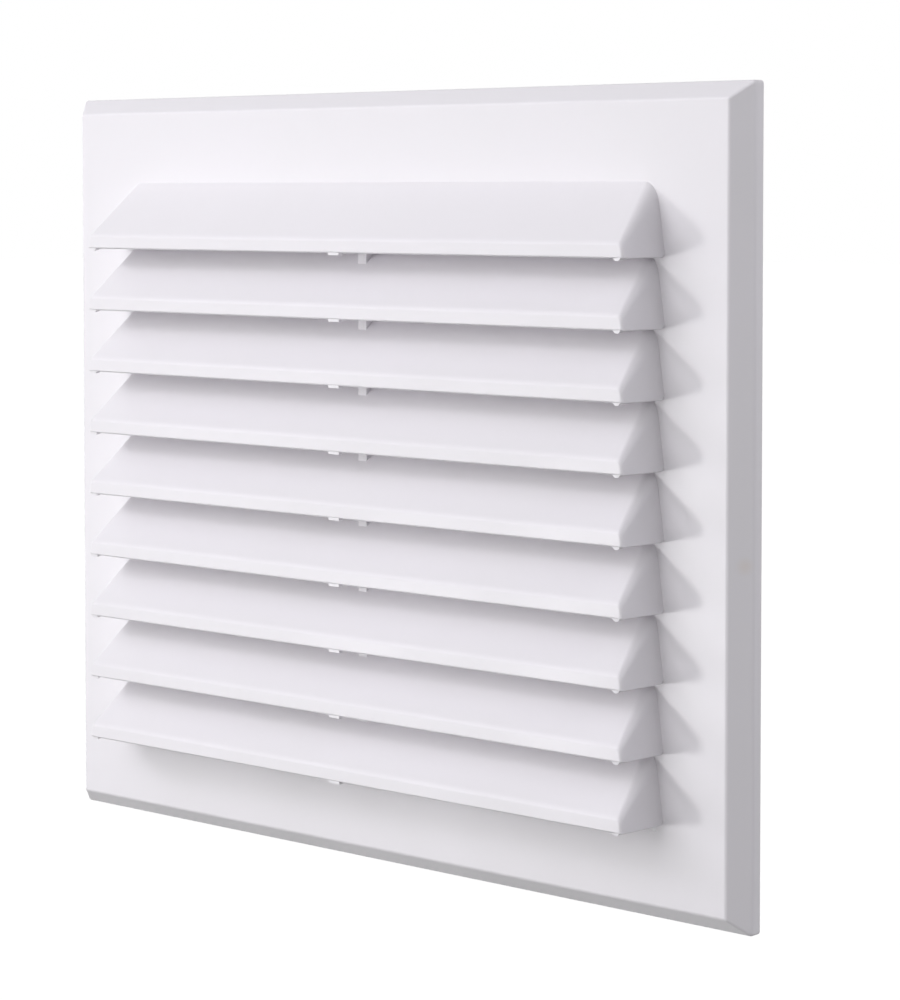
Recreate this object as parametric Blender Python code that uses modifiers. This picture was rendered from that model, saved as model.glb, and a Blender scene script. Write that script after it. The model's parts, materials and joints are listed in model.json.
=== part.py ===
"""Wall ventilation grille with rain hoods, moulded in one piece.

A shallow plate with a sloping border carries a field of louvre hoods. Each hood is a slanted
blade with an upright lip and two flared cheeks, open below and open through the plate behind.
A mullion ties the blades at mid width, and a collar with short ribs stiffens the hollow back.

Frame: X across, Z up, Y into the wall. The wall plane is Y = 0 and the front faces -Y.
All sizes are in metres.
"""

import math

import bmesh
import bpy
from mathutils import Vector

# Plate
PLATE_WIDTH = 0.280
PLATE_HEIGHT = 0.240
RIM_DEPTH = 0.0035
BORDER_DEPTH = 0.006
BORDER_INSET = 0.005
PLATE_WALL = 0.002
PLATE_CORNER_RADIUS = 0.0010
RIM_EDGE_RADIUS = 0.0006
FACE_EDGE_RADIUS = 0.0006
BACK_CORNER_RADIUS = 0.0010

# Hoods
HOOD_COUNT = 9
HOOD_PITCH = 0.0202
HOOD_PROJECTION = 0.018
BLADE_DROP = 0.0173
LIP_HEIGHT = 0.00425
FIELD_RAISE = 0.0003
HOOD_HALF_WIDTH = 0.1098
CHEEK_FLARE = math.radians(8.6)
CHEEK_DRAFT = math.radians(3.0)
BLADE_WALL = 0.0018
LIP_WALL = 0.0022
CHEEK_WALL = 0.0018
SILL_LAND = 0.00015
SILL_SLOPE = math.radians(26)
SHOULDER_ROOT_RADIUS = 0.0040
SHOULDER_LIP_RADIUS = 0.0013
LIP_END_RADIUS = 0.0010
LIP_EDGE_RADIUS = 0.0006
CHEEK_FOOT_RADIUS = 0.0004
CHEEK_HEEL_RADIUS = 0.0019
CHEEK_INNER_RADIUS = 0.0018
LIP_INNER_RADIUS = 0.0012
WINDOW_DROP = 0.0036
WINDOW_HALF_WIDTH = 0.1104

# Drip points under each lip
DRIP_RADIUS = 0.0016
DRIP_LENGTH = 0.010
DRIP_DROP = 0.00075
DRIP_INSET = 0.0025
DRIP_RECESS = 0.0002
GATE_WIDTH = 0.0044
GATE_DROP = 0.0006

# Back
MULLION_THICKNESS = 0.0034
MULLION_REACH = 0.005
COLLAR_WALL = 0.002
COLLAR_STEP = 0.001
RIB_THICKNESS = 0.0015
RIB_SETBACK = 0.001
TOP_RIB_SPACING = 0.075
SIDE_RIB_SPACING = 0.110

# Modelling allowances
OVERLAP = 0.001
OVERCUT = 0.003
ROUND_STEPS = 4
SHARP_ANGLE = math.radians(30)

# Places that follow from the sizes
PLATE_DEPTH = RIM_DEPTH + BORDER_DEPTH
FACE_Y = -PLATE_DEPTH
FIELD_HEIGHT = (HOOD_COUNT - 1) * HOOD_PITCH + BLADE_DROP + LIP_HEIGHT
FIRST_APEX_Z = FIELD_HEIGHT / 2 + FIELD_RAISE
LAST_SILL_Z = FIRST_APEX_Z - HOOD_COUNT * HOOD_PITCH
WINDOW_FOOT_Z = LAST_SILL_Z - WINDOW_DROP
BLADE_ANGLE = math.atan2(BLADE_DROP, HOOD_PROJECTION)
ROOT_HEIGHT = BLADE_WALL / math.cos(BLADE_ANGLE)
LIP_FOOT = BLADE_DROP + LIP_HEIGHT
COLLAR_HALF_WIDTH = HOOD_HALF_WIDTH + HOOD_PITCH * math.tan(CHEEK_FLARE) - CHEEK_WALL + COLLAR_STEP
COLLAR_TOP_Z = FIRST_APEX_Z
COLLAR_FOOT_Z = WINDOW_FOOT_Z - COLLAR_STEP


def clear_scene():
    """Remove every object of the open file."""
    for obj in list(bpy.data.objects):
        bpy.data.objects.remove(obj, do_unlink=True)


def new_collection(name, parent):
    """A new collection inside parent."""
    collection = bpy.data.collections.new(name)
    parent.children.link(collection)
    return collection


def quarter_turns():
    """The angles of the steps that round a corner, from 0 to a quarter turn."""
    return [math.pi / 2 * step / ROUND_STEPS for step in range(ROUND_STEPS + 1)]


def block(low, high):
    """A bmesh box between two corners, made from the cube primitive."""
    low, high = Vector(low), Vector(high)
    solid = bmesh.new()
    bmesh.ops.create_cube(solid, size=1.0)
    bmesh.ops.scale(solid, vec=high - low, verts=solid.verts)
    bmesh.ops.translate(solid, vec=(low + high) / 2, verts=solid.verts)
    return solid


def prism(profile, half_x):
    """A bmesh prism along X, from the (Y, Z) points of its section."""
    solid = bmesh.new()
    end = solid.faces.new([solid.verts.new((-half_x, y, z)) for y, z in profile])
    swept = bmesh.ops.extrude_face_region(solid, geom=[end])
    far = [item for item in swept["geom"] if isinstance(item, bmesh.types.BMVert)]
    bmesh.ops.translate(solid, vec=(2 * half_x, 0, 0), verts=far)
    bmesh.ops.recalc_face_normals(solid, faces=solid.faces)
    return solid


def loft(sections):
    """A bmesh solid through sections that have the same number of points."""
    solid = bmesh.new()
    rings = [[solid.verts.new(point) for point in section] for section in sections]
    for ring, following in zip(rings, rings[1:]):
        for index in range(len(ring)):
            solid.faces.new((ring[index - 1], ring[index], following[index], following[index - 1]))
    solid.faces.new(rings[0])
    solid.faces.new(rings[-1])
    bmesh.ops.recalc_face_normals(solid, faces=solid.faces)
    return solid


def trim(solid, planes):
    """Cut away what lies outside each (point, outward normal) plane and close the cut."""
    for point, normal in planes:
        cut = bmesh.ops.bisect_plane(
            solid,
            geom=solid.verts[:] + solid.edges[:] + solid.faces[:],
            dist=1e-7,
            plane_co=point,
            plane_no=normal,
            clear_outer=True,
        )
        edges = [item for item in cut["geom_cut"] if isinstance(item, bmesh.types.BMEdge)]
        bmesh.ops.holes_fill(solid, edges=edges)
    bmesh.ops.recalc_face_normals(solid, faces=solid.faces)
    return solid


def round_edges(solid, radius_of):
    """Store each edge's rounding radius, and return the largest one."""
    weight = solid.edges.layers.float.new("bevel_weight_edge")
    radii = {edge: radius_of(*edge.link_faces) for edge in solid.edges}
    largest = max(radii.values())
    for edge, radius in radii.items():
        edge[weight] = radius / largest
    return largest


def add_object(name, solid, collection, radius=0.0, helper=True):
    """Make an object of a bmesh, with a Bevel that follows its stored radii."""
    mesh = bpy.data.meshes.new(name)
    solid.to_mesh(mesh)
    solid.free()
    obj = bpy.data.objects.new(name, mesh)
    collection.objects.link(obj)
    if radius:
        bevel = obj.modifiers.new("rounding", "BEVEL")
        bevel.width = radius
        bevel.segments = ROUND_STEPS
        bevel.limit_method = "WEIGHT"
        bevel.use_clamp_overlap = False
    if helper:
        obj.hide_render = True
        obj.display_type = "WIRE"
    return obj


def combine(obj, operation, operand):
    """Add an exact Boolean with another object or with a whole collection."""
    boolean = obj.modifiers.new(operation.lower(), "BOOLEAN")
    boolean.operation = operation
    boolean.solver = "EXACT"
    if isinstance(operand, bpy.types.Collection):
        boolean.operand_type = "COLLECTION"
        boolean.collection = operand
    else:
        boolean.object = operand


def baked_mesh(obj):
    """The object's mesh with its modifiers applied."""
    bpy.context.view_layer.update()
    graph = bpy.context.evaluated_depsgraph_get()
    return bpy.data.meshes.new_from_object(obj.evaluated_get(graph))


def repeat_hood(name, mesh, collection):
    """Place one copy of a mesh at each hood of the field."""
    for row in range(HOOD_COUNT):
        copy = bpy.data.objects.new(f"{name}_{row + 1}", mesh)
        copy.location.z = FIRST_APEX_Z - row * HOOD_PITCH
        copy.hide_render = True
        copy.display_type = "WIRE"
        collection.objects.link(copy)


def is_side(face):
    return abs(face.normal.x) > 0.9


def is_front(face):
    return face.normal.y < -0.95


def is_slanted(face):
    return face.normal.y < -0.3 and face.normal.z > 0.3


def border_planes(depth):
    """The four sloping border planes, moved this far into the material."""
    planes = []
    for side, half in (((1, 0), PLATE_WIDTH / 2), ((0, 1), PLATE_HEIGHT / 2)):
        for sign in (-1, 1):
            outward = Vector((side[0] * sign, 0, side[1] * sign))
            normal = (outward * BORDER_DEPTH + Vector((0, -BORDER_INSET, 0))).normalized()
            corner = outward * half + Vector((0, -RIM_DEPTH, 0))
            planes.append((corner - normal * depth, normal))
    return planes


def cheek_planes(depth):
    """The two flared end planes of a hood whose apex is at Z = 0, moved into the material."""
    planes = []
    for sign in (-1, 1):
        normal = Vector((sign, -math.tan(CHEEK_DRAFT), math.tan(CHEEK_FLARE))).normalized()
        corner = Vector((sign * HOOD_HALF_WIDTH, FACE_Y, 0))
        planes.append((corner - normal * depth, normal))
    return planes


def blade_plane(depth):
    """The blade's slanted upper plane for an apex at Z = 0, moved into the material."""
    normal = Vector((0, -math.sin(BLADE_ANGLE), math.cos(BLADE_ANGLE)))
    return Vector((0, FACE_Y, 0)) - normal * depth, normal


def plate_radius(first, second):
    """Rounding between two faces of the plate blank."""
    rim = [abs(face.normal.y) < 0.1 for face in (first, second)]
    if any(face.normal.y > 0.5 for face in (first, second)):
        return 0.0
    if all(rim):
        return PLATE_CORNER_RADIUS
    if any(rim):
        return RIM_EDGE_RADIUS
    return FACE_EDGE_RADIUS


def build_plate(collection):
    """The plate blank: a slab with a square rim and a sloping border round its face."""
    half_x, half_z = PLATE_WIDTH / 2, PLATE_HEIGHT / 2
    solid = block((-half_x, FACE_Y, -half_z), (half_x, 0, half_z))
    trim(solid, border_planes(0))
    radius = round_edges(solid, plate_radius)
    return add_object("louvre_grille", solid, collection, radius, helper=False)


def back_radius(first, second):
    """Rounding in the upright corners inside the rim."""
    upright = abs(first.normal.y) < 0.1 and abs(second.normal.y) < 0.1
    return BACK_CORNER_RADIUS if upright else 0.0


def build_back_hollow(collection):
    """The cutter that leaves the plate and its rim one wall thick, open to the wall side."""
    half_x = PLATE_WIDTH / 2 - PLATE_WALL
    half_z = PLATE_HEIGHT / 2 - PLATE_WALL
    solid = block((-half_x, FACE_Y + PLATE_WALL, -half_z), (half_x, OVERCUT, half_z))
    trim(solid, border_planes(PLATE_WALL))
    radius = round_edges(solid, back_radius)
    return add_object("back_hollow", solid, collection, radius)


def hood_section(reach, narrowing=0.0):
    """The outline of a hood this far in front of the plate, drawn in at the lip's front edges."""
    share = reach / HOOD_PROJECTION
    radius = SHOULDER_ROOT_RADIUS + (SHOULDER_LIP_RADIUS - SHOULDER_ROOT_RADIUS) * share
    radius -= narrowing * LIP_EDGE_RADIUS
    top_z = -reach * math.tan(BLADE_ANGLE) - narrowing * LIP_EDGE_RADIUS
    foot_z = -LIP_FOOT + narrowing * LIP_EDGE_RADIUS
    half_x = HOOD_HALF_WIDTH - reach * math.tan(CHEEK_DRAFT) - narrowing * LIP_END_RADIUS
    side = []
    for turn in quarter_turns():
        z = top_z - radius / math.cos(BLADE_ANGLE) * (1 - math.cos(turn))
        side.append((half_x - z * math.tan(CHEEK_FLARE) - radius * (1 - math.sin(turn)), z))
    for turn in quarter_turns():
        z = foot_z + CHEEK_FOOT_RADIUS * (1 - math.sin(turn))
        inset = CHEEK_FOOT_RADIUS * (1 - math.cos(turn))
        side.append((half_x - z * math.tan(CHEEK_FLARE) - inset, z))
    outline = side + [(-x, z) for x, z in reversed(side)]
    return [(x, FACE_Y - reach, z) for x, z in outline]


def build_hood_blank(collection):
    """One solid hood with its apex at Z = 0: blade, lip and cheeks, rooted in the plate."""
    sections = [hood_section(-OVERCUT)]
    for turn in quarter_turns():
        reach = HOOD_PROJECTION - LIP_END_RADIUS * (1 - math.sin(turn))
        sections.append(hood_section(reach, 1 - math.cos(turn)))
    hood = add_object("hood_wedge", loft(sections), collection)
    combine(hood, "DIFFERENCE", build_heel_cutter(collection))
    combine(hood, "UNION", build_drips(collection))
    return hood


def build_heel_cutter(collection):
    """The cutter that rounds the lower rear corner of a hood's cheeks."""
    back_y = FACE_Y + 2 * OVERCUT
    top_z = -LIP_FOOT + CHEEK_HEEL_RADIUS
    low_z = -LIP_FOOT - OVERCUT
    profile = [(back_y, top_z), (back_y, low_z), (FACE_Y - CHEEK_HEEL_RADIUS, low_z)]
    for turn in quarter_turns():
        y = FACE_Y - CHEEK_HEEL_RADIUS * (1 - math.sin(turn))
        profile.append((y, top_z - CHEEK_HEEL_RADIUS * math.cos(turn)))
    return add_object("heel_cutter", prism(profile, PLATE_WIDTH / 2), collection)


def lip_half_width():
    """Half the width of the lip's front at its foot."""
    return (
        HOOD_HALF_WIDTH
        + LIP_FOOT * math.tan(CHEEK_FLARE)
        - HOOD_PROJECTION * math.tan(CHEEK_DRAFT)
    )


def build_drips(collection):
    """The drip points at both ends of a lip, run out under the cheeks, and its gate pad."""
    front_y = FACE_Y - HOOD_PROJECTION + DRIP_RECESS
    depth = LIP_WALL - 2 * DRIP_RECESS
    solid = block(
        (-GATE_WIDTH / 2, front_y, -LIP_FOOT - GATE_DROP),
        (GATE_WIDTH / 2, front_y + depth, -LIP_FOOT + OVERLAP),
    )
    for sign in (-1, 1):
        front = Vector((sign * (lip_half_width() - DRIP_INSET), front_y, DRIP_RADIUS - LIP_FOOT))
        outward = sign * DRIP_LENGTH * math.tan(CHEEK_DRAFT)
        back = front + Vector((outward, DRIP_LENGTH, DRIP_RECESS))
        front.z -= DRIP_DROP
        axis = back - front
        drip = bmesh.ops.create_cone(
            solid,
            cap_ends=True,
            segments=4 * ROUND_STEPS,
            radius1=DRIP_RADIUS,
            radius2=DRIP_RADIUS,
            depth=axis.length,
        )
        turn = Vector((0, 0, 1)).rotation_difference(axis).to_matrix()
        bmesh.ops.rotate(solid, cent=(0, 0, 0), matrix=turn, verts=drip["verts"])
        bmesh.ops.translate(solid, vec=(front + back) / 2, verts=drip["verts"])
    return add_object("lip_drips", solid, collection)


def hollow_radius(first, second):
    """Rounding inside a hood, where the blade meets the cheeks and the lip."""
    faces = (first, second)
    if not any(is_slanted(face) for face in faces):
        return 0.0
    if any(is_side(face) for face in faces):
        return CHEEK_INNER_RADIUS
    return LIP_INNER_RADIUS if any(is_front(face) for face in faces) else 0.0


def build_hood_hollow(collection):
    """The cutter that opens a hood below and through the plate, above its draining sill."""
    front_y = FACE_Y - HOOD_PROJECTION + LIP_WALL
    back_y = FACE_Y + PLATE_WALL + OVERCUT
    reach = PLATE_WIDTH / 2
    solid = block((-reach, front_y, -2 * HOOD_PITCH), (reach, back_y, -ROOT_HEIGHT))
    sill = Vector((0, FACE_Y, -HOOD_PITCH + SILL_LAND))
    sill_normal = Vector((0, math.sin(SILL_SLOPE), -math.cos(SILL_SLOPE)))
    trim(solid, [blade_plane(BLADE_WALL), *cheek_planes(CHEEK_WALL), (sill, sill_normal)])
    radius = round_edges(solid, hollow_radius)
    return add_object("hood_hollow", solid, collection, radius)


def build_window_foot(collection):
    """The cutter that carries the opening behind the last hood further down, to a level edge."""
    solid = block(
        (-WINDOW_HALF_WIDTH, FACE_Y - OVERLAP, WINDOW_FOOT_Z),
        (WINDOW_HALF_WIDTH, FACE_Y + PLATE_WALL + OVERCUT, LAST_SILL_Z + 2 * OVERLAP),
    )
    return add_object("window_foot", solid, collection)


def build_mullion(collection):
    """The upright web at mid width that ties every blade to the back."""
    half = MULLION_THICKNESS / 2
    solid = block(
        (-half, FACE_Y - MULLION_REACH, WINDOW_FOOT_Z),
        (half, 0, COLLAR_TOP_Z + COLLAR_WALL / 2),
    )
    point, normal = blade_plane(BLADE_WALL / 2)
    trim(solid, [(point + Vector((0, 0, FIRST_APEX_Z)), normal)])
    add_object("mullion", solid, collection)
    foot = block(
        (-half, FACE_Y + PLATE_WALL / 2, COLLAR_FOOT_Z - COLLAR_WALL / 2),
        (half, 0, WINDOW_FOOT_Z + OVERLAP),
    )
    add_object("mullion_foot", foot, collection)


def build_collar(collection):
    """The four bars behind the plate that frame the louvre window."""
    front_y = FACE_Y + PLATE_WALL / 2
    inner, outer = COLLAR_HALF_WIDTH, COLLAR_HALF_WIDTH + COLLAR_WALL
    foot, top = COLLAR_FOOT_Z, COLLAR_TOP_Z
    bars = {
        "collar_left": ((-outer, -inner), (foot, top)),
        "collar_right": ((inner, outer), (foot, top)),
        "collar_top": ((-outer, outer), (top, top + COLLAR_WALL)),
        "collar_foot": ((-outer, outer), (foot - COLLAR_WALL, foot)),
    }
    for name, ((x0, x1), (z0, z1)) in bars.items():
        add_object(name, block((x0, front_y, z0), (x1, 0, z1)), collection)


def build_ribs(collection):
    """Short ribs that tie the collar to the rim on all four sides."""
    front_y, back_y = FACE_Y + PLATE_WALL / 2, -RIB_SETBACK
    half = RIB_THICKNESS / 2
    skin = PLATE_WALL / 2
    rim_x, rim_z = PLATE_WIDTH / 2 - skin, PLATE_HEIGHT / 2 - skin
    grip = COLLAR_WALL / 2
    spans = []
    for x in (-TOP_RIB_SPACING, 0, TOP_RIB_SPACING):
        spans.append(((x - half, COLLAR_TOP_Z + grip), (x + half, rim_z)))
        spans.append(((x - half, -rim_z), (x + half, COLLAR_FOOT_Z - grip)))
    for z in (-SIDE_RIB_SPACING / 2, SIDE_RIB_SPACING / 2):
        spans.append(((COLLAR_HALF_WIDTH + grip, z - half), (rim_x, z + half)))
        spans.append(((-rim_x, z - half), (-COLLAR_HALF_WIDTH - grip, z + half)))
    for number, ((x0, z0), (x1, z1)) in enumerate(spans, start=1):
        solid = trim(block((x0, front_y, z0), (x1, back_y, z1)), border_planes(skin))
        add_object(f"rib_{number}", solid, collection)


def smooth_by_angle(obj):
    """Shade the finished solid smooth, and keep every edge above SHARP_ANGLE sharp."""
    group = bpy.data.node_groups.new("smooth_by_angle", "GeometryNodeTree")
    for way in ("INPUT", "OUTPUT"):
        group.interface.new_socket("Geometry", in_out=way, socket_type="NodeSocketGeometry")
    source = group.nodes.new("NodeGroupInput")
    result = group.nodes.new("NodeGroupOutput")
    smooth = group.nodes.new("GeometryNodeSetShadeSmooth")
    angle = group.nodes.new("GeometryNodeInputMeshEdgeAngle")
    above = group.nodes.new("FunctionNodeCompare")
    above.inputs["B"].default_value = SHARP_ANGLE
    sharp = group.nodes.new("GeometryNodeStoreNamedAttribute")
    sharp.data_type = "BOOLEAN"
    sharp.domain = "EDGE"
    sharp.inputs["Name"].default_value = "sharp_edge"
    link = group.links.new
    link(source.outputs["Geometry"], smooth.inputs["Geometry"])
    link(smooth.outputs["Geometry"], sharp.inputs["Geometry"])
    link(angle.outputs["Unsigned Angle"], above.inputs["A"])
    link(above.outputs["Result"], sharp.inputs["Value"])
    link(sharp.outputs["Geometry"], result.inputs["Geometry"])
    obj.modifiers.new("smooth_by_angle", "NODES").node_group = group


def keep_faces_flat(obj):
    """Let the large faces set the normals, so that roundings shade smooth and flats stay flat."""
    normals = obj.modifiers.new("keep_faces_flat", "WEIGHTED_NORMAL")
    normals.weight = 100
    normals.keep_sharp = True


def white_plastic():
    """The grille's glossy white moulding plastic."""
    material = bpy.data.materials.new("white_plastic")
    material.use_nodes = True
    shader = material.node_tree.nodes["Principled BSDF"]
    shader.inputs["Base Color"].default_value = (0.86, 0.85, 0.88, 1.0)
    shader.inputs["Roughness"].default_value = 0.38
    shader.inputs["Metallic"].default_value = 0.0
    return material


def main():
    """Build the grille."""
    clear_scene()
    root = bpy.context.scene.collection
    product = new_collection("ventilation_grille", root)
    helpers = new_collection("helpers", root)
    blanks = new_collection("hood_blanks", helpers)
    hollows = new_collection("hood_hollows", helpers)
    back = new_collection("back_frame", helpers)

    grille = build_plate(product)
    repeat_hood("hood_blank", baked_mesh(build_hood_blank(helpers)), blanks)
    repeat_hood("hood_hollow", baked_mesh(build_hood_hollow(helpers)), hollows)
    build_mullion(back)
    build_collar(back)
    build_ribs(back)

    combine(grille, "UNION", blanks)
    combine(grille, "DIFFERENCE", build_back_hollow(helpers))
    combine(grille, "DIFFERENCE", hollows)
    combine(grille, "DIFFERENCE", build_window_foot(helpers))
    combine(grille, "UNION", back)
    smooth_by_angle(grille)
    keep_faces_flat(grille)
    grille.data.materials.append(white_plastic())


main()
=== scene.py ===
"""Fine model, plastic, light and camera of a wall ventilation grille moulded in one piece.

A shallow plate with a sloping border carries nine rain hoods, a mullion and a back frame. Each
class holds the sizes of one sub-assembly and makes the solids that it adds to the moulding or
cuts from it. The finish, the studio and the camera are classes of their own.

Frame: X across, Z up, Y into the wall. The wall plane is Y = 0 and the front faces -Y.
Every size is in metres. A hood's own zero height is its apex.
"""

from __future__ import annotations

import json
import logging
import math
from dataclasses import dataclass, field
from enum import Enum
from typing import Callable, Sequence

import bmesh
import bpy
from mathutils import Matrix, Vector

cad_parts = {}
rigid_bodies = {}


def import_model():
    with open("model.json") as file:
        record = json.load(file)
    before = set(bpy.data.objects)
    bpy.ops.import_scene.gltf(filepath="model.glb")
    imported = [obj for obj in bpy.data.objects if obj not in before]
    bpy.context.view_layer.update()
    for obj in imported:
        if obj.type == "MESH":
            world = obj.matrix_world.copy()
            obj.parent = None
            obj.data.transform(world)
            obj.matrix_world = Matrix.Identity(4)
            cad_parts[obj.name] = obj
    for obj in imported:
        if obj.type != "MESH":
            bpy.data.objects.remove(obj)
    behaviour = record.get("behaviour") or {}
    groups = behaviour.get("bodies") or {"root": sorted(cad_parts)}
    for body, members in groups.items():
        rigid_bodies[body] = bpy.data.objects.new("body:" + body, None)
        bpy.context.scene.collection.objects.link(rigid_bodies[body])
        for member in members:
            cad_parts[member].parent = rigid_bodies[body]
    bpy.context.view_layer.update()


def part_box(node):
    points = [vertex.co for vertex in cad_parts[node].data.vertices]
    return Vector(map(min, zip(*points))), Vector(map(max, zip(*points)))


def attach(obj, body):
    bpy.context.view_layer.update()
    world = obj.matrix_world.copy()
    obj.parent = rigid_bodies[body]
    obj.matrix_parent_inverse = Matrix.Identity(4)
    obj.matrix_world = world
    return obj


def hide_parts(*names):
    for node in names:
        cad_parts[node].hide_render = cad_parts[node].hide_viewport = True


LOG = logging.getLogger("grille")

CAD_NODE = "louvre_grille"

# How far joined solids overlap, and how far cutters run past what they cut.
OVERLAP = 0.001
OVERCUT = 0.003
CUT_TOLERANCE = 1e-7
ROUND_STEPS = 8
SHARP_ANGLE = math.radians(32)
FLAT_FACE_WEIGHT = 100

# What part of a face's normal tells which way it looks.
SIDE_SHARE = 0.9
FRONT_SHARE = 0.95
SLANT_SHARE = 0.3
BACK_SHARE = 0.5
UPRIGHT_SHARE = 0.1

# Most of a noise pattern's values lie between these.
NOISE_LOW = 0.3
NOISE_HIGH = 0.7

NEUTRAL_WHITE = (1.0, 1.0, 1.0)
COOL_WHITE = (1.0, 0.985, 1.07)

Plane = tuple[Vector, Vector]
RadiusRule = Callable[[bmesh.types.BMFace, bmesh.types.BMFace], float]


class Operation(Enum):
    """What a Boolean does with the solid that it is given."""

    JOIN = "UNION"
    CUT = "DIFFERENCE"


def quarter_turns() -> list[float]:
    """List the angles of the steps that round a corner, from 0 to a quarter turn."""
    return [math.pi / 2 * step / ROUND_STEPS for step in range(ROUND_STEPS + 1)]


class Solid:
    """A closed body that is trimmed by planes and gets a rounding radius on each edge."""

    def __init__(self) -> None:
        """Start with an empty body."""
        self.body = bmesh.new()
        self.radius = 0.0

    @classmethod
    def block(cls, low: Sequence[float], high: Sequence[float]) -> Solid:
        """Make a block from the primitive cube.

        Args:
            low: Lowest corner.
            high: Highest corner.

        Returns:
            The block.
        """
        solid = cls()
        low_corner, high_corner = Vector(low), Vector(high)
        bmesh.ops.create_cube(solid.body, size=1.0)
        bmesh.ops.scale(solid.body, vec=high_corner - low_corner, verts=solid.body.verts)
        bmesh.ops.translate(
            solid.body, vec=(low_corner + high_corner) / 2, verts=solid.body.verts
        )
        return solid

    @classmethod
    def prism(cls, profile: Sequence[tuple[float, float]], half_x: float) -> Solid:
        """Sweep a section along X.

        Args:
            profile: The (Y, Z) points of the section.
            half_x: Half the length of the sweep.

        Returns:
            The prism, centred on X = 0.
        """
        solid = cls()
        body = solid.body
        end = body.faces.new([body.verts.new((-half_x, y, z)) for y, z in profile])
        swept = bmesh.ops.extrude_face_region(body, geom=[end])
        far = [item for item in swept["geom"] if isinstance(item, bmesh.types.BMVert)]
        bmesh.ops.translate(body, vec=(2 * half_x, 0, 0), verts=far)
        bmesh.ops.recalc_face_normals(body, faces=body.faces)
        return solid

    @classmethod
    def loft(cls, sections: Sequence[Sequence[tuple[float, float, float]]]) -> Solid:
        """Carry a skin over a row of sections and close both ends.

        Args:
            sections: Points of each section, the same number in each.

        Returns:
            The solid.
        """
        solid = cls()
        body = solid.body
        rings = [[body.verts.new(point) for point in section] for section in sections]
        for ring, following in zip(rings, rings[1:]):
            for index in range(len(ring)):
                corners = (ring[index - 1], ring[index], following[index], following[index - 1])
                body.faces.new(corners)
        body.faces.new(rings[0])
        body.faces.new(rings[-1])
        bmesh.ops.recalc_face_normals(body, faces=body.faces)
        return solid

    def add_rod(self, start: Vector, end: Vector, radius: float) -> None:
        """Add a round rod with flat ends.

        Args:
            start: Middle of its first end.
            end: Middle of its other end.
            radius: Its radius.
        """
        axis = end - start
        rod = bmesh.ops.create_cone(
            self.body,
            cap_ends=True,
            segments=4 * ROUND_STEPS,
            radius1=radius,
            radius2=radius,
            depth=axis.length,
        )
        turn = Vector((0, 0, 1)).rotation_difference(axis).to_matrix()
        bmesh.ops.rotate(self.body, cent=(0, 0, 0), matrix=turn, verts=rod["verts"])
        bmesh.ops.translate(self.body, vec=(start + end) / 2, verts=rod["verts"])

    def trim(self, planes: Sequence[Plane]) -> Solid:
        """Cut away what lies outside each plane, and close the cut.

        Args:
            planes: A point and an outward normal for each cut.

        Returns:
            This solid.
        """
        for point, normal in planes:
            cut = bmesh.ops.bisect_plane(
                self.body,
                geom=self.body.verts[:] + self.body.edges[:] + self.body.faces[:],
                dist=CUT_TOLERANCE,
                plane_co=point,
                plane_no=normal,
                clear_outer=True,
            )
            edges = [item for item in cut["geom_cut"] if isinstance(item, bmesh.types.BMEdge)]
            bmesh.ops.holes_fill(self.body, edges=edges)
        bmesh.ops.recalc_face_normals(self.body, faces=self.body.faces)
        return self

    def round_edges(self, rule: RadiusRule) -> Solid:
        """Store a rounding radius on each edge.

        Args:
            rule: Gives the radius between two faces.

        Returns:
            This solid.
        """
        weight = self.body.edges.layers.float.new("bevel_weight_edge")
        radii = {edge: rule(*edge.link_faces) for edge in self.body.edges}
        self.radius = max(radii.values())
        for edge, radius in radii.items():
            edge[weight] = radius / self.radius
        return self

    def to_object(self, name: str, collection: bpy.types.Collection) -> bpy.types.Object:
        """Turn the body into an object whose Bevel follows the stored radii.

        Args:
            name: Name of the object.
            collection: Where it goes.

        Returns:
            The new object.
        """
        mesh = bpy.data.meshes.new(name)
        self.body.to_mesh(mesh)
        self.body.free()
        obj = bpy.data.objects.new(name, mesh)
        collection.objects.link(obj)
        if self.radius:
            bevel = obj.modifiers.new("rounding", "BEVEL")
            bevel.width = self.radius
            bevel.segments = ROUND_STEPS
            bevel.limit_method = "WEIGHT"
            bevel.use_clamp_overlap = False
        return obj


class Workbench:
    """Collections that hold helper solids while the moulding is made."""

    def __init__(self) -> None:
        """Lay out one collection for loose helpers."""
        self.root = bpy.data.collections.new("workbench")
        bpy.context.scene.collection.children.link(self.root)

    def tray(self, name: str) -> bpy.types.Collection:
        """Make a collection for solids that one Boolean takes together.

        Args:
            name: Name of the collection.

        Returns:
            The new collection.
        """
        collection = bpy.data.collections.new(name)
        self.root.children.link(collection)
        return collection

    def clear(self) -> None:
        """Remove every helper."""
        for obj in list(self.root.all_objects):
            bpy.data.objects.remove(obj, do_unlink=True)
        for collection in list(self.root.children):
            bpy.data.collections.remove(collection)
        bpy.data.collections.remove(self.root)


def combine(
    obj: bpy.types.Object,
    operation: Operation,
    operand: bpy.types.Object | bpy.types.Collection,
) -> None:
    """Add an exact Boolean.

    Args:
        obj: The object that is changed.
        operation: Whether the operand is joined or cut away.
        operand: Another object, or a collection of them.
    """
    boolean = obj.modifiers.new(operation.name.lower(), "BOOLEAN")
    boolean.operation = operation.value
    boolean.solver = "EXACT"
    if isinstance(operand, bpy.types.Collection):
        boolean.operand_type = "COLLECTION"
        boolean.collection = operand
    else:
        boolean.object = operand


def baked_mesh(obj: bpy.types.Object) -> bpy.types.Mesh:
    """Apply an object's modifiers.

    Args:
        obj: The object.

    Returns:
        A new mesh.
    """
    bpy.context.view_layer.update()
    graph = bpy.context.evaluated_depsgraph_get()
    return bpy.data.meshes.new_from_object(obj.evaluated_get(graph))


def is_side(face: bmesh.types.BMFace) -> bool:
    """Whether a face looks along X."""
    return abs(face.normal.x) > SIDE_SHARE


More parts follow.
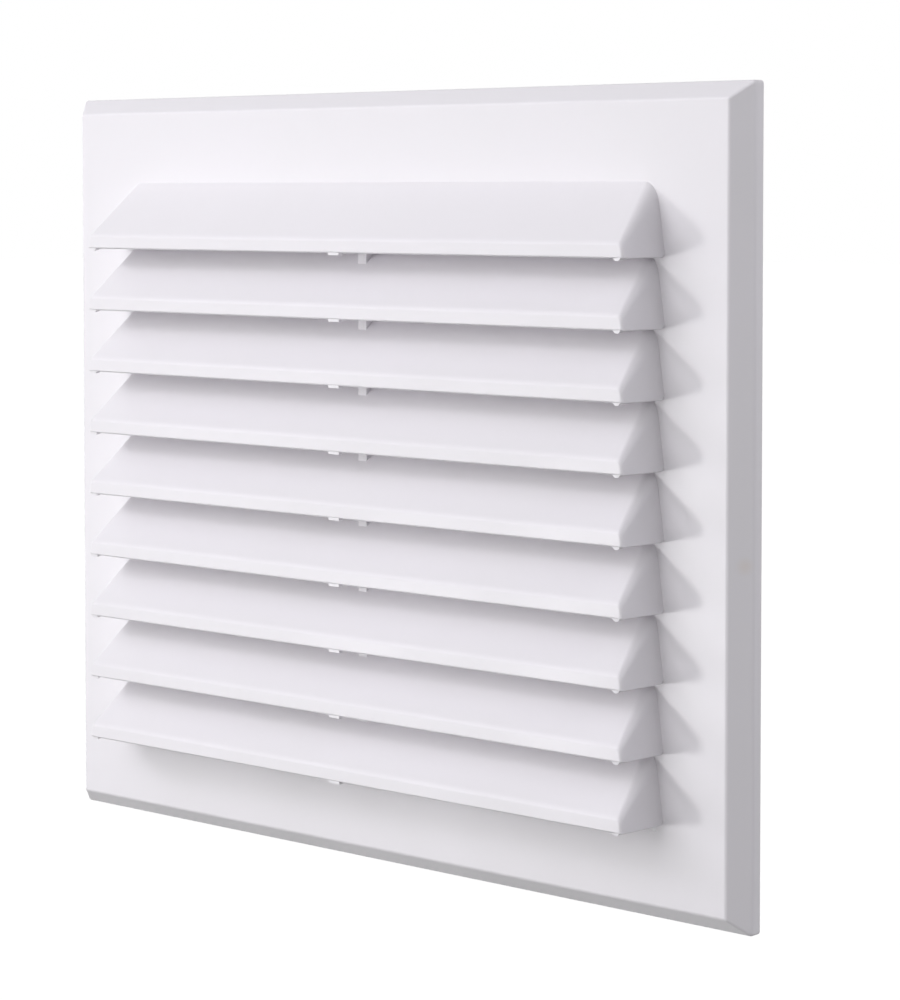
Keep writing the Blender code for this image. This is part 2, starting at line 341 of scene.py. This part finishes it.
def is_front(face: bmesh.types.BMFace) -> bool:
    """Whether a face looks straight to the front."""
    return face.normal.y < -FRONT_SHARE


def is_slanted(face: bmesh.types.BMFace) -> bool:
    """Whether a face looks forward and up."""
    return face.normal.y < -SLANT_SHARE and face.normal.z > SLANT_SHARE


def is_back(face: bmesh.types.BMFace) -> bool:
    """Whether a face looks at the wall."""
    return face.normal.y > BACK_SHARE


def is_upright(face: bmesh.types.BMFace) -> bool:
    """Whether a face stands square on the wall."""
    return abs(face.normal.y) < UPRIGHT_SHARE


@dataclass
class MouldedPlate:
    """The plate: a square rim, a sloping border and a flat face, hollow behind."""

    width: float
    height: float
    rim_depth: float = 0.0035
    border_depth: float = 0.006
    border_inset: float = 0.005
    wall: float = 0.002
    corner_radius: float = 0.0010
    rim_radius: float = 0.0006
    face_radius: float = 0.0006
    back_radius: float = 0.0010

    @property
    def face_y(self) -> float:
        """Where the flat face lies, in front of the wall."""
        return -(self.rim_depth + self.border_depth)

    def border_planes(self, depth: float) -> list[Plane]:
        """Work out the four sloping border planes.

        Args:
            depth: How far they are moved into the material.

        Returns:
            A point and an outward normal for each side.
        """
        planes = []
        for side, half in (((1, 0), self.width / 2), ((0, 1), self.height / 2)):
            for sign in (-1, 1):
                outward = Vector((side[0] * sign, 0, side[1] * sign))
                slope = outward * self.border_depth + Vector((0, -self.border_inset, 0))
                normal = slope.normalized()
                corner = outward * half + Vector((0, -self.rim_depth, 0))
                planes.append((corner - normal * depth, normal))
        return planes

    def outer_radius(self, first: bmesh.types.BMFace, second: bmesh.types.BMFace) -> float:
        """Choose the rounding between two outer faces.

        Args:
            first: One face of the edge.
            second: The other face.

        Returns:
            The radius.
        """
        rim = [is_upright(face) for face in (first, second)]
        if is_back(first) or is_back(second):
            return 0.0
        if all(rim):
            return self.corner_radius
        return self.rim_radius if any(rim) else self.face_radius

    def inner_radius(self, first: bmesh.types.BMFace, second: bmesh.types.BMFace) -> float:
        """Choose the rounding between two faces behind the plate.

        Args:
            first: One face of the edge.
            second: The other face.

        Returns:
            The radius.
        """
        return self.back_radius if is_upright(first) and is_upright(second) else 0.0

    def blank(self) -> Solid:
        """Make the plate as a full slab.

        Returns:
            The slab, with its border sloped and its edges rounded.
        """
        half_x, half_z = self.width / 2, self.height / 2
        solid = Solid.block((-half_x, self.face_y, -half_z), (half_x, 0, half_z))
        return solid.trim(self.border_planes(0)).round_edges(self.outer_radius)

    def hollow(self) -> Solid:
        """Make the cutter that leaves the plate and its rim one wall thick.

        Returns:
            The cutter, open to the wall side.
        """
        half_x, half_z = self.width / 2 - self.wall, self.height / 2 - self.wall
        low = (-half_x, self.face_y + self.wall, -half_z)
        solid = Solid.block(low, (half_x, OVERCUT, half_z))
        return solid.trim(self.border_planes(self.wall)).round_edges(self.inner_radius)


@dataclass
class DripEdge:
    """The drip points at both ends of a lip, and the gate pad at its middle."""

    radius: float = 0.0016
    length: float = 0.010
    drop: float = 0.00075
    inset: float = 0.0025
    recess: float = 0.0002
    gate_width: float = 0.0044
    gate_drop: float = 0.0006


@dataclass
class LouvreField:
    """The rain hoods: slanted blades with upright lips and flared cheeks."""

    plate: MouldedPlate
    projection: float
    count: int = 9
    pitch: float = 0.0202
    blade_drop: float = 0.0173
    lip_height: float = 0.00425
    raise_z: float = 0.0003
    half_width: float = 0.1098
    flare: float = math.radians(8.6)
    draft: float = math.radians(3.0)
    blade_wall: float = 0.0018
    lip_wall: float = 0.0022
    cheek_wall: float = 0.0018
    sill_land: float = 0.00015
    sill_slope: float = math.radians(26)
    shoulder_root_radius: float = 0.0040
    shoulder_lip_radius: float = 0.0013
    lip_end_radius: float = 0.0010
    lip_radius: float = 0.0006
    foot_radius: float = 0.0004
    heel_radius: float = 0.0019
    cheek_inner_radius: float = 0.0018
    lip_inner_radius: float = 0.0012
    window_drop: float = 0.0036
    window_half_width: float = 0.1104
    drips: DripEdge = field(default_factory=DripEdge)

    @property
    def lip_foot(self) -> float:
        """How far the lip's foot lies below the apex."""
        return self.blade_drop + self.lip_height

    @property
    def lip_y(self) -> float:
        """Where the lips' front lies."""
        return self.plate.face_y - self.projection

    @property
    def first_apex_z(self) -> float:
        """Height of the highest apex on the plate."""
        return ((self.count - 1) * self.pitch + self.lip_foot) / 2 + self.raise_z

    @property
    def last_sill_z(self) -> float:
        """Height where a hood after the last one would start."""
        return self.first_apex_z - self.count * self.pitch

    @property
    def window_foot_z(self) -> float:
        """Lower edge of the whole opening."""
        return self.last_sill_z - self.window_drop

    @property
    def blade_angle(self) -> float:
        """How steeply a blade falls to the front."""
        return math.atan2(self.blade_drop, self.projection)

    @property
    def lip_half_width(self) -> float:
        """Half the width of a lip's front at its foot."""
        flared = self.half_width + self.lip_foot * math.tan(self.flare)
        return flared - self.projection * math.tan(self.draft)

    def cheek_planes(self, depth: float) -> list[Plane]:
        """Work out the two flared end planes of a hood.

        Args:
            depth: How far they are moved into the material.

        Returns:
            A point and an outward normal for each end.
        """
        planes = []
        for sign in (-1, 1):
            slope = Vector((sign, -math.tan(self.draft), math.tan(self.flare)))
            corner = Vector((sign * self.half_width, self.plate.face_y, 0))
            planes.append((corner - slope.normalized() * depth, slope.normalized()))
        return planes

    def blade_plane(self, depth: float) -> Plane:
        """Work out a blade's slanted upper plane.

        Args:
            depth: How far it is moved into the material.

        Returns:
            A point and the outward normal.
        """
        normal = Vector((0, -math.sin(self.blade_angle), math.cos(self.blade_angle)))
        return Vector((0, self.plate.face_y, 0)) - normal * depth, normal

    def hollow_radius(self, first: bmesh.types.BMFace, second: bmesh.types.BMFace) -> float:
        """Choose the rounding inside a hood, where the blade meets the cheeks and the lip.

        Args:
            first: One face of the edge.
            second: The other face.

        Returns:
            The radius.
        """
        faces = (first, second)
        if not any(is_slanted(face) for face in faces):
            return 0.0
        if any(is_side(face) for face in faces):
            return self.cheek_inner_radius
        return self.lip_inner_radius if any(is_front(face) for face in faces) else 0.0

    def section(self, reach: float, narrowing: float = 0.0) -> list[tuple[float, float, float]]:
        """Outline a hood at one distance in front of the plate.

        Args:
            reach: The distance.
            narrowing: How far the rounding of the lip's front edges has drawn it in, from 0 to 1.

        Returns:
            The points, from the middle of the blade down one cheek and up the other.
        """
        share = reach / self.projection
        radius = self.shoulder_root_radius * (1 - share) + self.shoulder_lip_radius * share
        radius -= narrowing * self.lip_radius
        top_z = -reach * math.tan(self.blade_angle) - narrowing * self.lip_radius
        foot_z = -self.lip_foot + narrowing * self.lip_radius
        half_x = self.half_width - reach * math.tan(self.draft) - narrowing * self.lip_end_radius
        side = []
        for turn in quarter_turns():
            z = top_z - radius / math.cos(self.blade_angle) * (1 - math.cos(turn))
            inset = radius * (1 - math.sin(turn))
            side.append((half_x - z * math.tan(self.flare) - inset, z))
        for turn in quarter_turns():
            z = foot_z + self.foot_radius * (1 - math.sin(turn))
            inset = self.foot_radius * (1 - math.cos(turn))
            side.append((half_x - z * math.tan(self.flare) - inset, z))
        outline = side + [(-x, z) for x, z in reversed(side)]
        return [(x, self.plate.face_y - reach, z) for x, z in outline]

    def wedge(self) -> Solid:
        """Make one hood without its drip points, as a full solid.

        Returns:
            The solid, rooted in the plate.
        """
        sections = [self.section(-OVERCUT)]
        for turn in quarter_turns():
            reach = self.projection - self.lip_end_radius * (1 - math.sin(turn))
            sections.append(self.section(reach, 1 - math.cos(turn)))
        return Solid.loft(sections)

    def heel_cutter(self) -> Solid:
        """Make the cutter that rounds the lower rear corner of the cheeks.

        Returns:
            The cutter.
        """
        face_y, radius = self.plate.face_y, self.heel_radius
        back_y = face_y + 2 * OVERCUT
        top_z = -self.lip_foot + radius
        low_z = -self.lip_foot - OVERCUT
        profile = [(back_y, top_z), (back_y, low_z), (face_y - radius, low_z)]
        for turn in quarter_turns():
            y = face_y - radius * (1 - math.sin(turn))
            profile.append((y, top_z - radius * math.cos(turn)))
        return Solid.prism(profile, self.plate.width / 2)

    def drip_points(self) -> Solid:
        """Make what hangs below a lip.

        Returns:
            The gate pad, and a rod at each end that runs out under the cheek.
        """
        sizes = self.drips
        front_y = self.lip_y + sizes.recess
        back_y = front_y + self.lip_wall - 2 * sizes.recess
        half = sizes.gate_width / 2
        solid = Solid.block(
            (-half, front_y, -self.lip_foot - sizes.gate_drop),
            (half, back_y, -self.lip_foot + OVERLAP),
        )
        for sign in (-1, 1):
            x = sign * (self.lip_half_width - sizes.inset)
            front = Vector((x, front_y, sizes.radius - self.lip_foot))
            outward = sign * sizes.length * math.tan(self.draft)
            back = front + Vector((outward, sizes.length, sizes.recess))
            front.z -= sizes.drop
            solid.add_rod(front, back, sizes.radius)
        return solid

    def hollow(self) -> Solid:
        """Make the cutter that opens a hood below and through the plate.

        Returns:
            The cutter, with a sill that drains to the front.
        """
        reach = self.plate.width / 2
        face_y = self.plate.face_y
        root = self.blade_wall / math.cos(self.blade_angle)
        low = (-reach, self.lip_y + self.lip_wall, -2 * self.pitch)
        solid = Solid.block(low, (reach, face_y + self.plate.wall + OVERCUT, -root))
        sill = Vector((0, face_y, -self.pitch + self.sill_land))
        drain = Vector((0, math.sin(self.sill_slope), -math.cos(self.sill_slope)))
        planes = [
            self.blade_plane(self.blade_wall),
            *self.cheek_planes(self.cheek_wall),
            (sill, drain),
        ]
        return solid.trim(planes).round_edges(self.hollow_radius)

    def window_foot(self) -> Solid:
        """Make the cutter that carries the opening behind the last hood further down.

        Returns:
            The cutter, with a level lower edge.
        """
        half = self.window_half_width
        low = (-half, self.plate.face_y - OVERLAP, self.window_foot_z)
        back_y = self.plate.face_y + self.plate.wall + OVERCUT
        return Solid.block(low, (half, back_y, self.last_sill_z + 2 * OVERLAP))

    def repeat(self, mesh: bpy.types.Mesh, tray: bpy.types.Collection) -> None:
        """Place one copy of a mesh at each hood.

        Args:
            mesh: The mesh, with the apex at zero height.
            tray: The collection that gets the copies.
        """
        for row in range(self.count):
            copy = bpy.data.objects.new(f"{tray.name}_{row + 1}", mesh)
            copy.location.z = self.first_apex_z - row * self.pitch
            tray.objects.link(copy)


@dataclass
class BackFrame:
    """The mullion, the collar round the opening and the ribs that tie it to the rim."""

    plate: MouldedPlate
    louvres: LouvreField
    mullion_thickness: float = 0.0034
    mullion_reach: float = 0.005
    collar_wall: float = 0.002
    collar_step: float = 0.001
    rib_thickness: float = 0.0015
    rib_setback: float = 0.001
    top_rib_spacing: float = 0.075
    side_rib_spacing: float = 0.110

    @property
    def inner_half_width(self) -> float:
        """Half the clear width inside the collar."""
        louvres = self.louvres
        flared = louvres.half_width + louvres.pitch * math.tan(louvres.flare)
        return flared - louvres.cheek_wall + self.collar_step

    @property
    def top_z(self) -> float:
        """Height of the collar's clear opening at its top."""
        return self.louvres.first_apex_z

    @property
    def foot_z(self) -> float:
        """Height of the collar's clear opening at its foot."""
        return self.louvres.window_foot_z - self.collar_step

    def add_mullion(self, tray: bpy.types.Collection) -> None:
        """Add the upright web at mid width and its foot behind the plate.

        Args:
            tray: The collection that gets the solids.
        """
        half = self.mullion_thickness / 2
        face_y = self.plate.face_y
        sill_z = self.louvres.window_foot_z
        web = Solid.block(
            (-half, face_y - self.mullion_reach, sill_z),
            (half, 0, self.top_z + self.collar_wall / 2),
        )
        point, normal = self.louvres.blade_plane(self.louvres.blade_wall / 2)
        web.trim([(point + Vector((0, 0, self.top_z)), normal)])
        web.to_object("mullion", tray)
        foot = Solid.block(
            (-half, face_y + self.plate.wall / 2, self.foot_z - self.collar_wall / 2),
            (half, 0, sill_z + OVERLAP),
        )
        foot.to_object("mullion_foot", tray)

    def add_collar(self, tray: bpy.types.Collection) -> None:
        """Add the four bars that frame the opening behind the plate.

        Args:
            tray: The collection that gets the solids.
        """
        front_y = self.plate.face_y + self.plate.wall / 2
        inner = self.inner_half_width
        outer = inner + self.collar_wall
        foot, top = self.foot_z, self.top_z
        bars = {
            "collar_left": ((-outer, -inner), (foot, top)),
            "collar_right": ((inner, outer), (foot, top)),
            "collar_top": ((-outer, outer), (top, top + self.collar_wall)),
            "collar_foot": ((-outer, outer), (foot - self.collar_wall, foot)),
        }
        for name, ((x0, x1), (z0, z1)) in bars.items():
            Solid.block((x0, front_y, z0), (x1, 0, z1)).to_object(name, tray)

    def add_ribs(self, tray: bpy.types.Collection) -> None:
        """Add the short ribs between the collar and the rim, on all four sides.

        Args:
            tray: The collection that gets the solids.
        """
        plate = self.plate
        front_y, back_y = plate.face_y + plate.wall / 2, -self.rib_setback
        half, skin, grip = self.rib_thickness / 2, plate.wall / 2, self.collar_wall / 2
        rim_x, rim_z = plate.width / 2 - skin, plate.height / 2 - skin
        inner = self.inner_half_width
        spans = []
        for x in (-self.top_rib_spacing, 0.0, self.top_rib_spacing):
            spans.append(((x - half, self.top_z + grip), (x + half, rim_z)))
            spans.append(((x - half, -rim_z), (x + half, self.foot_z - grip)))
        for z in (-self.side_rib_spacing / 2, self.side_rib_spacing / 2):
            spans.append(((inner + grip, z - half), (rim_x, z + half)))
            spans.append(((-rim_x, z - half), (-inner - grip, z + half)))
        for number, ((x0, z0), (x1, z1)) in enumerate(spans, start=1):
            rib = Solid.block((x0, front_y, z0), (x1, back_y, z1))
            rib.trim(plate.border_planes(skin)).to_object(f"rib_{number}", tray)


@dataclass(frozen=True)
class WhitePlastic:
    """Semi-gloss white moulding plastic with a fine grain and a few marks of handling."""

    colour: tuple[float, float, float] = (0.872, 0.848, 0.885)
    shade_colour: tuple[float, float, float] = (0.845, 0.828, 0.850)
    stain_colour: tuple[float, float, float] = (0.80, 0.70, 0.60)
    stain_place: tuple[float, float, float] = (0.1383, -0.0055, -0.0155)
    stain_radius: float = 0.0035
    stain_strength: float = 0.30
    roughness: tuple[float, float] = (0.32, 0.42)
    refraction: float = 1.5
    cloud_size: float = 0.05
    cloud_detail: float = 2.0
    wave_size: float = 0.018
    wave_detail: float = 1.0
    wave_height: float = 0.00003
    grain_size: float = 0.0004
    grain_detail: float = 2.0
    grain_height: float = 0.000002

    def build(self) -> bpy.types.Material:
        """Make the node material.

        Returns:
            The material.
        """
        material = bpy.data.materials.new("white_plastic")
        material.use_nodes = True
        tree = material.node_tree
        shader = tree.nodes["Principled BSDF"]
        shader.inputs["IOR"].default_value = self.refraction
        shader.inputs["Metallic"].default_value = 0.0
        place = tree.nodes.new("ShaderNodeTexCoord").outputs["Object"]
        cloud = self.noise(tree, place, self.cloud_size, self.cloud_detail)
        tint = self.mix(tree, cloud, self.colour, self.shade_colour)
        stained = self.mix(tree, self.stain(tree, place), tint, self.stain_colour)
        tree.links.new(stained, shader.inputs["Base Color"])
        tree.links.new(self.span(tree, cloud, self.roughness), shader.inputs["Roughness"])
        wave = self.noise(tree, place, self.wave_size, self.wave_detail)
        waves = self.bump(tree, wave, self.wave_height)
        grain = self.noise(tree, place, self.grain_size, self.grain_detail)
        relief = self.bump(tree, grain, self.grain_height, waves)
        tree.links.new(relief, shader.inputs["Normal"])
        return material

    def noise(
        self,
        tree: bpy.types.NodeTree,
        place: bpy.types.NodeSocket,
        size: float,
        detail: float,
    ) -> bpy.types.NodeSocket:
        """Add a noise pattern.

        Args:
            tree: The node tree.
            place: Where the pattern is read.
            size: Size of its largest patches.
            detail: How many finer layers it has.

        Returns:
            Its value, from 0 to 1.
        """
        node = tree.nodes.new("ShaderNodeTexNoise")
        node.inputs["Scale"].default_value = 1 / size
        node.inputs["Detail"].default_value = detail
        tree.links.new(place, node.inputs["Vector"])
        return node.outputs["Fac"]

    def span(
        self,
        tree: bpy.types.NodeTree,
        value: bpy.types.NodeSocket,
        ends: tuple[float, float],
    ) -> bpy.types.NodeSocket:
        """Stretch a noise value over a range.

        Args:
            tree: The node tree.
            value: The value.
            ends: What the range runs from and to.

        Returns:
            The stretched value.
        """
        node = tree.nodes.new("ShaderNodeMapRange")
        node.inputs["From Min"].default_value = NOISE_LOW
        node.inputs["From Max"].default_value = NOISE_HIGH
        node.inputs["To Min"].default_value = ends[0]
        node.inputs["To Max"].default_value = ends[1]
        tree.links.new(value, node.inputs["Value"])
        return node.outputs["Result"]

    def mix(
        self,
        tree: bpy.types.NodeTree,
        share: bpy.types.NodeSocket,
        first: bpy.types.NodeSocket | tuple[float, float, float],
        second: tuple[float, float, float],
    ) -> bpy.types.NodeSocket:
        """Mix two colours.

        Args:
            tree: The node tree.
            share: How much of the second colour is taken.
            first: The first colour, or a socket that gives it.
            second: The second colour.

        Returns:
            The mixed colour.
        """
        node = tree.nodes.new("ShaderNodeMix")
        node.data_type = "RGBA"
        tree.links.new(share, node.inputs["Factor"])
        if isinstance(first, tuple):
            node.inputs["A"].default_value = (*first, 1.0)
        else:
            tree.links.new(first, node.inputs["A"])
        node.inputs["B"].default_value = (*second, 1.0)
        return node.outputs["Result"]

    def stain(
        self, tree: bpy.types.NodeTree, place: bpy.types.NodeSocket
    ) -> bpy.types.NodeSocket:
        """Add the mask of the faint warm stain on the right border.

        Args:
            tree: The node tree.
            place: Where the mask is read.

        Returns:
            The stain's share of the colour.
        """
        apart = tree.nodes.new("ShaderNodeVectorMath")
        apart.operation = "DISTANCE"
        apart.inputs[1].default_value = self.stain_place
        tree.links.new(place, apart.inputs[0])
        fade = tree.nodes.new("ShaderNodeMapRange")
        fade.interpolation_type = "SMOOTHSTEP"
        fade.inputs["From Max"].default_value = self.stain_radius
        fade.inputs["To Min"].default_value = self.stain_strength
        fade.inputs["To Max"].default_value = 0.0
        tree.links.new(apart.outputs["Value"], fade.inputs["Value"])
        return fade.outputs["Result"]

    def bump(
        self,
        tree: bpy.types.NodeTree,
        height: bpy.types.NodeSocket,
        distance: float,
        below: bpy.types.NodeSocket | None = None,
    ) -> bpy.types.NodeSocket:
        """Add a relief.

        Args:
            tree: The node tree.
            height: Its height, from 0 to 1.
            distance: What a height of 1 stands for.
            below: The relief that it lies on.

        Returns:
            The normal.
        """
        node = tree.nodes.new("ShaderNodeBump")
        node.inputs["Distance"].default_value = distance
        tree.links.new(height, node.inputs["Height"])
        if below is not None:
            tree.links.new(below, node.inputs["Normal"])
        return node.outputs["Normal"]


@dataclass
class Grille:
    """The whole moulding, which stands for the CAD node."""

    plate: MouldedPlate
    louvres: LouvreField
    back: BackFrame
    finish: WhitePlastic

    def build(self) -> bpy.types.Object:
        """Join and cut the solids, and keep the result as one mesh.

        Returns:
            The grille.
        """
        bench = Workbench()
        blanks, hollows, back = (bench.tray(name) for name in ("blank", "hollow", "back"))
        core = self.plate.blank().to_object("core", bench.root)
        wedge = self.louvres.wedge().to_object("wedge", bench.root)
        heel = self.louvres.heel_cutter().to_object("heel", bench.root)
        combine(wedge, Operation.CUT, heel)
        drips = self.louvres.drip_points().to_object("drips", bench.root)
        combine(wedge, Operation.JOIN, drips)
        self.louvres.repeat(baked_mesh(wedge), blanks)
        opening = self.louvres.hollow().to_object("opening", bench.root)
        self.louvres.repeat(baked_mesh(opening), hollows)
        self.back.add_mullion(back)
        self.back.add_collar(back)
        self.back.add_ribs(back)
        combine(core, Operation.JOIN, blanks)
        plate_hollow = self.plate.hollow().to_object("plate_hollow", bench.root)
        combine(core, Operation.CUT, plate_hollow)
        combine(core, Operation.CUT, hollows)
        window_foot = self.louvres.window_foot().to_object("window_foot", bench.root)
        combine(core, Operation.CUT, window_foot)
        combine(core, Operation.JOIN, back)
        mesh = baked_mesh(core)
        bench.clear()
        mesh.name = "grille_body"
        grille = bpy.data.objects.new("grille_body", mesh)
        bpy.context.scene.collection.objects.link(grille)
        return grille

    def dress(self, grille: bpy.types.Object) -> None:
        """Shade the grille smooth between its sharp edges, and give it its plastic.

        Args:
            grille: The grille.
        """
        mesh = grille.data
        mesh.shade_smooth()
        mesh.set_sharp_from_angle(angle=SHARP_ANGLE)
        normals = grille.modifiers.new("flat_faces", "WEIGHTED_NORMAL")
        normals.keep_sharp = True
        normals.weight = FLAT_FACE_WEIGHT
        mesh.materials.clear()
        mesh.materials.append(self.finish.build())


class LampHead(Enum):
    """Width and height of a lamp's lit face."""

    SPOT = (0.26, 0.26)
    STRIP = (0.6, 0.22)
    BOX = (0.8, 0.8)
    WIDE_BOX = (1.3, 1.3)


@dataclass
class SoftLamp:
    """A soft rectangular studio lamp that looks at the grille."""

    name: str
    head: LampHead
    azimuth: float
    elevation: float
    distance: float
    level: float
    colour: tuple[float, float, float] = NEUTRAL_WHITE

    def build(self) -> bpy.types.Object:
        """Place the lamp.

        Returns:
            The lamp. Its level is what it adds to a white face that looks at it.
        """
        data = bpy.data.lights.new(self.name, "AREA")
        data.shape = "RECTANGLE"
        data.size, data.size_y = self.head.value
        # A power of (pi * distance) ** 2 adds a level of 1 at that distance.
        data.energy = self.level * (math.pi * self.distance) ** 2
        data.color = self.colour
        lamp = bpy.data.objects.new(self.name, data)
        turn, lift = math.radians(self.azimuth), math.radians(self.elevation)
        away = Vector(
            (
                math.sin(turn) * math.cos(lift),
                -math.cos(turn) * math.cos(lift),
                math.sin(lift),
            )
        )
        lamp.location = away * self.distance
        lamp.rotation_euler = away.to_track_quat("Z", "Y").to_euler()
        bpy.context.scene.collection.objects.link(lamp)
        return lamp


def studio_lamps() -> list[SoftLamp]:
    """List the lamps, with the azimuth and elevation of each in degrees.

    Returns:
        What lights the front, then what lights from above, beside and behind.
    """
    spot, strip, box, wide_box = LampHead.SPOT, LampHead.STRIP, LampHead.BOX, LampHead.WIDE_BOX
    cool = COOL_WHITE
    return [
        SoftLamp("key_lamp", spot, -37, -8, distance=2.2, level=0.14),
        SoftLamp("front_fill", box, -10, 20, distance=1.2, level=0.335),
        SoftLamp("left_fill", box, -60, 0, distance=1.6, level=0.092),
        SoftLamp("edge_lamp", strip, -43.5, 28, distance=1.3, level=0.11, colour=cool),
        SoftLamp("left_overhead", wide_box, -45, 45, distance=2.2, level=0.112, colour=cool),
        SoftLamp("right_overhead", box, 10, 45, distance=1.2, level=0.085, colour=cool),
        SoftLamp("right_fill", box, 110, 25, distance=1.3, level=0.208, colour=cool),
        SoftLamp("back_lamp", wide_box, 140, 10, distance=2.2, level=0.065),
    ]


@dataclass
class Studio:
    """A plain pale floor and a white surround that is dimmer as a light."""

    floor_z: float = -0.80
    floor_half_size: float = 30.0
    floor_thickness: float = 0.001
    floor_shade: float = 0.22
    floor_glow: float = 0.97
    horizon_level: float = 0.75
    zenith_level: float = 0.0
    seen_level: float = 1.0

    def build(self) -> bpy.types.Object:
        """Lay the floor and set the world.

        Returns:
            The floor.
        """
        self.build_world()
        half, top_z = self.floor_half_size, self.floor_z
        solid = Solid.block((-half, -half, top_z - self.floor_thickness), (half, half, top_z))
        floor = solid.to_object("studio_floor", bpy.context.scene.collection)
        floor.data.materials.append(self.floor_material())
        return floor

    def seen_directly(self, tree: bpy.types.NodeTree) -> bpy.types.NodeSocket:
        """Tell what the camera, a reflection or a clear piece sees from what lights the object.

        Args:
            tree: The node tree.

        Returns:
            Above 0 for what is seen, and 0 for what only lights.
        """
        path = tree.nodes.new("ShaderNodeLightPath")
        total = path.outputs["Is Camera Ray"]
        for name in ("Is Glossy Ray", "Is Transmission Ray"):
            either = tree.nodes.new("ShaderNodeMath")
            either.operation = "MAXIMUM"
            tree.links.new(total, either.inputs[0])
            tree.links.new(path.outputs[name], either.inputs[1])
            total = either.outputs["Value"]
        return total

    def floor_material(self) -> bpy.types.Material:
        """Make the floor's pale finish, which keeps the object's shadow.

        Returns:
            The material.
        """
        material = bpy.data.materials.new("pale_floor")
        material.use_nodes = True
        tree = material.node_tree
        tree.nodes.clear()
        paint = tree.nodes.new("ShaderNodeBsdfDiffuse")
        paint.inputs["Color"].default_value = (*(self.floor_shade,) * 3, 1.0)
        glow = tree.nodes.new("ShaderNodeEmission")
        strength = tree.nodes.new("ShaderNodeMath")
        strength.operation = "MULTIPLY"
        strength.inputs[1].default_value = self.floor_glow
        both = tree.nodes.new("ShaderNodeAddShader")
        result = tree.nodes.new("ShaderNodeOutputMaterial")
        link = tree.links.new
        link(self.seen_directly(tree), strength.inputs[0])
        link(strength.outputs["Value"], glow.inputs["Strength"])
        link(paint.outputs["BSDF"], both.inputs[0])
        link(glow.outputs["Emission"], both.inputs[1])
        link(both.outputs["Shader"], result.inputs["Surface"])
        return material

    def build_world(self) -> None:
        """Set a world that is white to look at and lights most from the horizon."""
        world = bpy.data.worlds.new("studio")
        bpy.context.scene.world = world
        world.use_nodes = True
        tree = world.node_tree
        tree.nodes.clear()
        way = tree.nodes.new("ShaderNodeTexCoord")
        axes = tree.nodes.new("ShaderNodeSeparateXYZ")
        rise = tree.nodes.new("ShaderNodeMapRange")
        rise.inputs["To Min"].default_value = self.horizon_level
        rise.inputs["To Max"].default_value = self.zenith_level
        level = tree.nodes.new("ShaderNodeMix")
        level.inputs["B"].default_value = self.seen_level
        surround = tree.nodes.new("ShaderNodeBackground")
        surround.inputs["Color"].default_value = (*NEUTRAL_WHITE, 1.0)
        result = tree.nodes.new("ShaderNodeOutputWorld")
        link = tree.links.new
        link(way.outputs["Generated"], axes.inputs["Vector"])
        link(axes.outputs["Z"], rise.inputs["Value"])
        link(rise.outputs["Result"], level.inputs["A"])
        link(self.seen_directly(tree), level.inputs["Factor"])
        link(level.outputs["Result"], surround.inputs["Strength"])
        link(surround.outputs["Background"], result.inputs["Surface"])


@dataclass
class ProductCamera:
    """The camera at the viewing angle of the product shot."""

    location: tuple[float, float, float] = (0.617761, -0.666419, 0.088529)
    turn: float = 41.741
    tilt: float = 2.5
    lens: float = 105.366
    sensor_width: float = 36.0
    shift_y: float = -0.179
    clip_range: tuple[float, float] = (0.05, 200.0)

    def build(self) -> bpy.types.Object:
        """Make the camera and look through it.

        Returns:
            The camera.
        """
        data = bpy.data.cameras.new("product_camera")
        data.sensor_width = self.sensor_width
        data.lens = self.lens
        data.shift_y = self.shift_y
        data.clip_start, data.clip_end = self.clip_range
        camera = bpy.data.objects.new("product_camera", data)
        camera.location = self.location
        camera.rotation_euler = (math.radians(90 - self.tilt), 0, math.radians(self.turn))
        bpy.context.scene.collection.objects.link(camera)
        bpy.context.scene.camera = camera
        return camera


def main() -> None:
    """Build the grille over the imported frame, then its studio and camera."""
    logging.basicConfig(level=logging.INFO, format="%(name)s: %(message)s")
    for obj in list(bpy.data.objects):
        bpy.data.objects.remove(obj, do_unlink=True)
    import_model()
    bpy.context.scene.view_settings.view_transform = "Standard"

    low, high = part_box(CAD_NODE)
    plate = MouldedPlate(width=high.x - low.x, height=high.z - low.z)
    louvres = LouvreField(plate, projection=plate.face_y - low.y)
    back = BackFrame(plate, louvres)
    grille = Grille(plate, louvres, back, WhitePlastic())
    body = grille.build()
    grille.dress(body)
    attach(body, "root")
    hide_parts(CAD_NODE)
    LOG.info("%s: %d faces", body.name, len(body.data.polygons))

    floor = Studio().build()
    LOG.info("%s at z = %.2f", floor.name, Studio.floor_z)
    for lamp in studio_lamps():
        LOG.info("%s at %s", lamp.name, lamp.build().location[:])
    LOG.info("%s at %s", "camera", ProductCamera().build().location[:])


if __name__ == "__main__":
    main()
